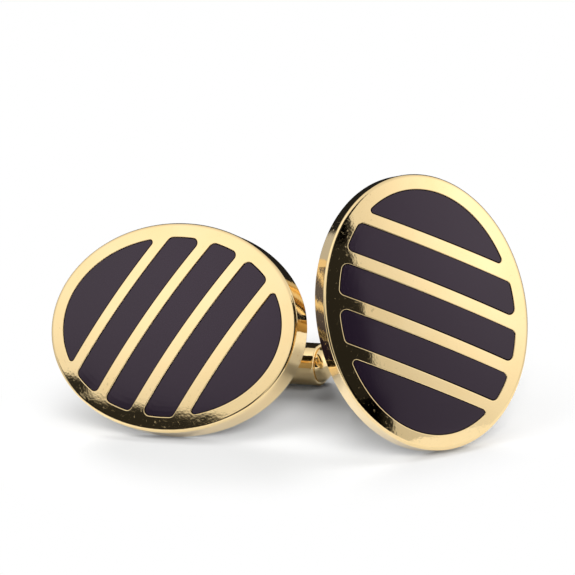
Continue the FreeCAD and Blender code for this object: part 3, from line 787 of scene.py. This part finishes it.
def capBlank(name):  # a plug with a domed end that overlaps the tube's rim
    end, plug = bar["halfLength"], bar["radius"] - bar["wall"] - bar["plugClearance"]
    out, rise = bar["radius"] - bar["capStep"], bar["capRise"]
    sphere = (out ** 2 + rise ** 2) / (2 * rise)
    widest = math.asin(out / sphere)
    steps = math.ceil(math.degrees(widest) / bar["capArcDegrees"])
    dome = [(end + rise - sphere * (1 - math.cos(turn)), sphere * math.sin(turn), 0)
            for turn in np.linspace(0, widest, steps + 1)]
    dome[-1] = (end, out, bar["capEdge"])
    back = end - bar["plugLength"]
    return turned(name, dome + [(end, plug, 0), (back, plug, 0), (back, 0, 0)])


def makeCaps(side):
    domed = capBlank("domedCap")
    domed.transform(toPivot)
    setInPlace(f"{side}DomedCap", side, polished(domed), "polishedGoldPlate", "toggle", ["domed_cap"])
    half, long = bar["slotHalf"], bar["halfLength"] + bar["capRise"] + turning["overrun"]
    gate = prism("gate", [(0, -half, 0), (long, -half, 0), (long, half, 0), (0, half, 0)],
                 -bar["gateFloor"], bar["radius"] + turning["overrun"])
    slotted = combined(capBlank("slottedCap"), "DIFFERENCE", gate)
    slotted.transform(turnedRound)
    setInPlace(f"{side}SlottedCap", side, polished(slotted), "polishedGoldPlate", "toggle", ["slotted_cap"])


def makePin(side):  # its ends are filed flush with the round of the tube
    rod = cylinder("rod", bar["pinRadius"], bar["radius"])
    rod.transform(toAcross)
    whole = combined(rod, "INTERSECT", cylinder("round", bar["radius"], 2 * bar["pinRadius"]))
    whole.transform(toPivot)
    setInPlace(f"{side}PivotPin", side, polished(whole), "polishedGoldPlate", "toggle", ["pivot_pin"])


for side in sides:
    makePost(side)
    makeTube(side)
    makeCaps(side)
    makePin(side)
    spring = frame["nodes"][f"{side}_leaf_spring"]
    spring.data.materials.clear()
    spring.data.materials.append(materials["rolledSpringSteel"])


# Studio: four soft lamps light a pale floor. The metal mirrors a white tent's glow instead, with a softbox
# on each side and dark gaps where the tent is open. Angles are degrees, azimuths from the camera's side to
# the right.
studio = {
    "floorRadiusMm": 31.0, "floorColour": "#f9f9f8", "bounceColour": "#303030", "fadeMm": (12.5, 22.0),
    "ambient": 0.12, "ambientColour": "#f6f8fc", "tentColour": "#ffffff",
    "tent": (0.51, 0.63), "tentRise": (-5.0, 35.0),  # its glow low down and high up, between elevations
    "gapShare": 0.03, "edgeDegrees": 0.9,  # the glow left in a gap, and how soft its edge is
    "dullBounces": 0.5,  # tells no dull bounce from one or more
    "lamps": {  # azimuth, elevation, distance and size in mm, level
        "frontLamp": (14, 25, 700, 390, 0.42), "leftLamp": (-59, 31, 700, 700, 0.25),
        "backLamp": (-172, 28, 700, 430, 0.24), "topLamp": (63, 70, 700, 350, 0.14),
    },
    "softboxes": {  # azimuth, elevation, glow, spread
        "left": (-65, 43, 0.57, 41), "right": (70, 20, 0.77, 32.5),
    },
    "gaps": {  # azimuth, half width, lowest and highest elevation
        "camera": (7.1, 17.2, -90, 52), "cameraLow": (13, 14, -90, 3), "cameraHigh": (20, 7, 29, 52),
        "lowLeft": (-47, 25, -90, 10.6), "farLeft": (-76, 7, -90, 14.3), "back": (170, 38, -90, 56),
    },
}


def towards(azimuth, elevation):
    turn, up = math.radians(azimuth), math.radians(elevation)
    return Vector((math.sin(turn) * math.cos(up), -math.cos(turn) * math.cos(up), math.sin(up)))


def rayKinds(tree):  # from the camera, mirrored, either of them, and not yet thrown back by a dull surface
    path = node(tree, "ShaderNodeLightPath").outputs
    camera = path["Is Camera Ray"]
    mirrored = node(tree, "ShaderNodeMath", {"operation": "MAXIMUM"}, in0=path["Is Glossy Ray"],
                    in1=path["Is Transmission Ray"]).outputs[0]
    seen = node(tree, "ShaderNodeMath", {"operation": "MAXIMUM"}, in0=camera, in1=mirrored).outputs[0]
    direct = node(tree, "ShaderNodeMath", {"operation": "LESS_THAN"}, in0=path["Diffuse Depth"],
                  in1=studio["dullBounces"]).outputs[0]
    return camera, mirrored, seen, direct


def whiteFloor():
    work = bmesh.new()
    bmesh.ops.create_circle(work, cap_ends=True, segments=turning["spins"],
                            radius=studio["floorRadiusMm"] * mm)
    mesh = outOf(work, "floor")
    floor = inScene("floor", mesh)
    tree = newMaterial("whiteStudioFloor")
    camera, mirrored, seen, direct = rayKinds(tree)

    # away from the object the floor fades to plain white, to the eye and in mirrors
    where = node(tree, "ShaderNodeTexCoord").outputs["Object"]
    away = node(tree, "ShaderNodeVectorMath", {"operation": "LENGTH"}, in0=where).outputs["Value"]
    near, far = studio["fadeMm"]
    plain = node(tree, "ShaderNodeMapRange", {"interpolation_type": "SMOOTHSTEP"}, Value=away,
                 From_Min=near * mm, From_Max=far * mm).outputs[0]
    blank = node(tree, "ShaderNodeMath", {"operation": "MULTIPLY"}, in0=plain, in1=seen).outputs[0]

    # after a dull bounce it counts as dark, so the metal throws no warm light back into the shadow
    tone = node(tree, "ShaderNodeMix", {"data_type": "RGBA"}, in0=direct,
                in6=linear(studio["bounceColour"]), in7=linear(studio["floorColour"])).outputs[2]
    paper = node(tree, "ShaderNodeBsdfDiffuse", Color=tone)
    white = node(tree, "ShaderNodeEmission", Strength=1.0)
    both = node(tree, "ShaderNodeMixShader", in0=blank, in1=paper.outputs[0], in2=white.outputs[0])
    node(tree, "ShaderNodeOutputMaterial", Surface=both.outputs[0])
    mesh.materials.append(materials["whiteStudioFloor"])


def studioWorld():
    world = bpy.data.worlds.new("studio")
    bpy.context.scene.world = world
    world.use_nodes = True
    tree = world.node_tree
    tree.nodes.clear()
    ray = node(tree, "ShaderNodeTexCoord").outputs["Generated"]
    upward = node(tree, "ShaderNodeSeparateXYZ", Vector=ray).outputs["Z"]
    elevation = node(tree, "ShaderNodeMath", {"operation": "ARCSINE"}, in0=upward).outputs[0]
    dim, bright = studio["tent"]
    first, last = studio["tentRise"]
    glow = node(tree, "ShaderNodeMapRange", {"interpolation_type": "SMOOTHSTEP"}, Value=elevation,
                From_Min=math.radians(first), From_Max=math.radians(last), To_Min=dim,
                To_Max=bright).outputs[0]
    for azimuth, height, strength, spread in studio["softboxes"].values():
        cosine = node(tree, "ShaderNodeVectorMath", {"operation": "DOT_PRODUCT"}, in0=ray,
                      in1=towards(azimuth, height)).outputs["Value"]
        away = node(tree, "ShaderNodeMath", {"operation": "ARCCOSINE"}, in0=cosine).outputs[0]
        share = node(tree, "ShaderNodeMath", {"operation": "DIVIDE"}, in0=away,
                     in1=math.radians(spread)).outputs[0]
        fall = node(tree, "ShaderNodeMath", {"operation": "MULTIPLY"}, in0=share, in1=share).outputs[0]
        fade = node(tree, "ShaderNodeMath", {"operation": "MULTIPLY"}, in0=fall, in1=-1.0).outputs[0]
        soft = node(tree, "ShaderNodeMath", {"operation": "EXPONENT"}, in0=fade).outputs[0]
        glow = node(tree, "ShaderNodeMath", {"operation": "MULTIPLY_ADD"}, in0=soft, in1=strength,
                    in2=glow).outputs[0]
    edge = studio["edgeDegrees"]
    for azimuth, half, low, high in studio["gaps"].values():
        ahead = node(tree, "ShaderNodeVectorMath", {"operation": "DOT_PRODUCT"}, in0=ray,
                     in1=towards(azimuth, 0)).outputs["Value"]
        aside = node(tree, "ShaderNodeVectorMath", {"operation": "DOT_PRODUCT"}, in0=ray,
                     in1=towards(azimuth + 90, 0)).outputs["Value"]
        turn = node(tree, "ShaderNodeMath", {"operation": "ARCTAN2"}, in0=aside, in1=ahead).outputs[0]
        apart = node(tree, "ShaderNodeMath", {"operation": "ABSOLUTE"}, in0=turn).outputs[0]
        dark = 1.0  # inside all of the gap's edges: its sides, its top and its bottom
        limits = [(apart, half, 1.0, 0.0), (elevation, high, 1.0, 0.0), (elevation, low, 0.0, 1.0)]
        for place, limit, before, after in limits:
            inside = node(tree, "ShaderNodeMapRange", {"interpolation_type": "SMOOTHSTEP"}, Value=place,
                          From_Min=math.radians(limit - edge), From_Max=math.radians(limit + edge),
                          To_Min=before, To_Max=after).outputs[0]
            dark = node(tree, "ShaderNodeMath", {"operation": "MULTIPLY"}, in0=inside, in1=dark).outputs[0]
        lit = node(tree, "ShaderNodeMapRange", Value=dark, To_Min=1.0, To_Max=studio["gapShare"]).outputs[0]
        glow = node(tree, "ShaderNodeMath", {"operation": "MULTIPLY"}, in0=glow, in1=lit).outputs[0]

    # white to the camera, the glow in mirrors unless it would light the floor, a faint light elsewhere
    camera, mirrored, seen, direct = rayKinds(tree)
    glow = node(tree, "ShaderNodeMath", {"operation": "MULTIPLY"}, in0=glow, in1=direct).outputs[0]
    lighting = node(tree, "ShaderNodeMix", {"data_type": "FLOAT"}, in0=mirrored, in2=studio["ambient"],
                    in3=glow)
    strength = node(tree, "ShaderNodeMix", {"data_type": "FLOAT"}, in0=camera, in2=lighting.outputs[0],
                    in3=1.0)
    tint = node(tree, "ShaderNodeMix", {"data_type": "RGBA"}, in0=seen,
                in6=linear(studio["ambientColour"]), in7=linear(studio["tentColour"]))
    sky = node(tree, "ShaderNodeBackground", Color=tint.outputs[2], Strength=strength.outputs[0])
    node(tree, "ShaderNodeOutputWorld", Surface=sky.outputs[0])


def softLamp(name, azimuth, elevation, distanceMm, sizeMm, level):  # level: what a white floor gets from it
    data = bpy.data.lights.new(name, "AREA")
    data.shape = "DISK"
    data.size = sizeMm * mm
    reach = math.hypot(distanceMm, sizeMm / 2) * mm
    data.energy = level * (math.pi * reach) ** 2 / math.sin(math.radians(elevation))
    lamp = inScene(name, data)
    lamp.location = towards(azimuth, elevation) * distanceMm * mm
    lamp.rotation_euler = (-lamp.location).to_track_quat("-Z", "Y").to_euler()
    lamp.visible_glossy = False  # metal shows the tent's own glow instead


whiteFloor()
studioWorld()
for name, values in studio["lamps"].items():
    softLamp(name, *values)

# The photograph's view: a long lens, slightly above the floor and slightly rolled
view = {
    "elevation": 15.74, "roll": -4.67, "distanceMm": 521.2, "framePixels": 575, "pixelsPerMm": 15.35,
    "faceMiddleMm": 2.01, "rightOfCentreMm": 0.7174, "belowCentreMm": 2.085, "sensorMm": 36.0,
    "clipM": (0.01, 20.0),
}


def photoCamera():
    tilt, roll = math.radians(view["elevation"]), math.radians(view["roll"])
    forward = Vector((0, math.cos(tilt), -math.sin(tilt)))
    level, upright = Vector((1, 0, 0)), Vector((0, math.sin(tilt), math.cos(tilt)))
    right = level * math.cos(roll) + upright * math.sin(roll)
    up = upright * math.cos(roll) - level * math.sin(roll)
    middle = sum((frames[side] @ Vector((0, 0, view["faceMiddleMm"])) for side in sides), Vector()) / 2
    target = middle + (up * view["belowCentreMm"] - right * view["rightOfCentreMm"]) * mm
    data = bpy.data.cameras.new("photoCamera")
    data.sensor_width = view["sensorMm"]
    data.lens = data.sensor_width * view["distanceMm"] * view["pixelsPerMm"] / view["framePixels"]
    data.clip_start, data.clip_end = view["clipM"]
    camera = inScene("photoCamera", data)
    turn = Matrix((right, up, -forward)).transposed().to_4x4()
    camera.matrix_world = Matrix.Translation(target - forward * view["distanceMm"] * mm) @ turn
    bpy.context.scene.camera = camera


photoCamera()
bpy.context.scene.view_settings.view_transform = "Standard"
print("camera and light set")
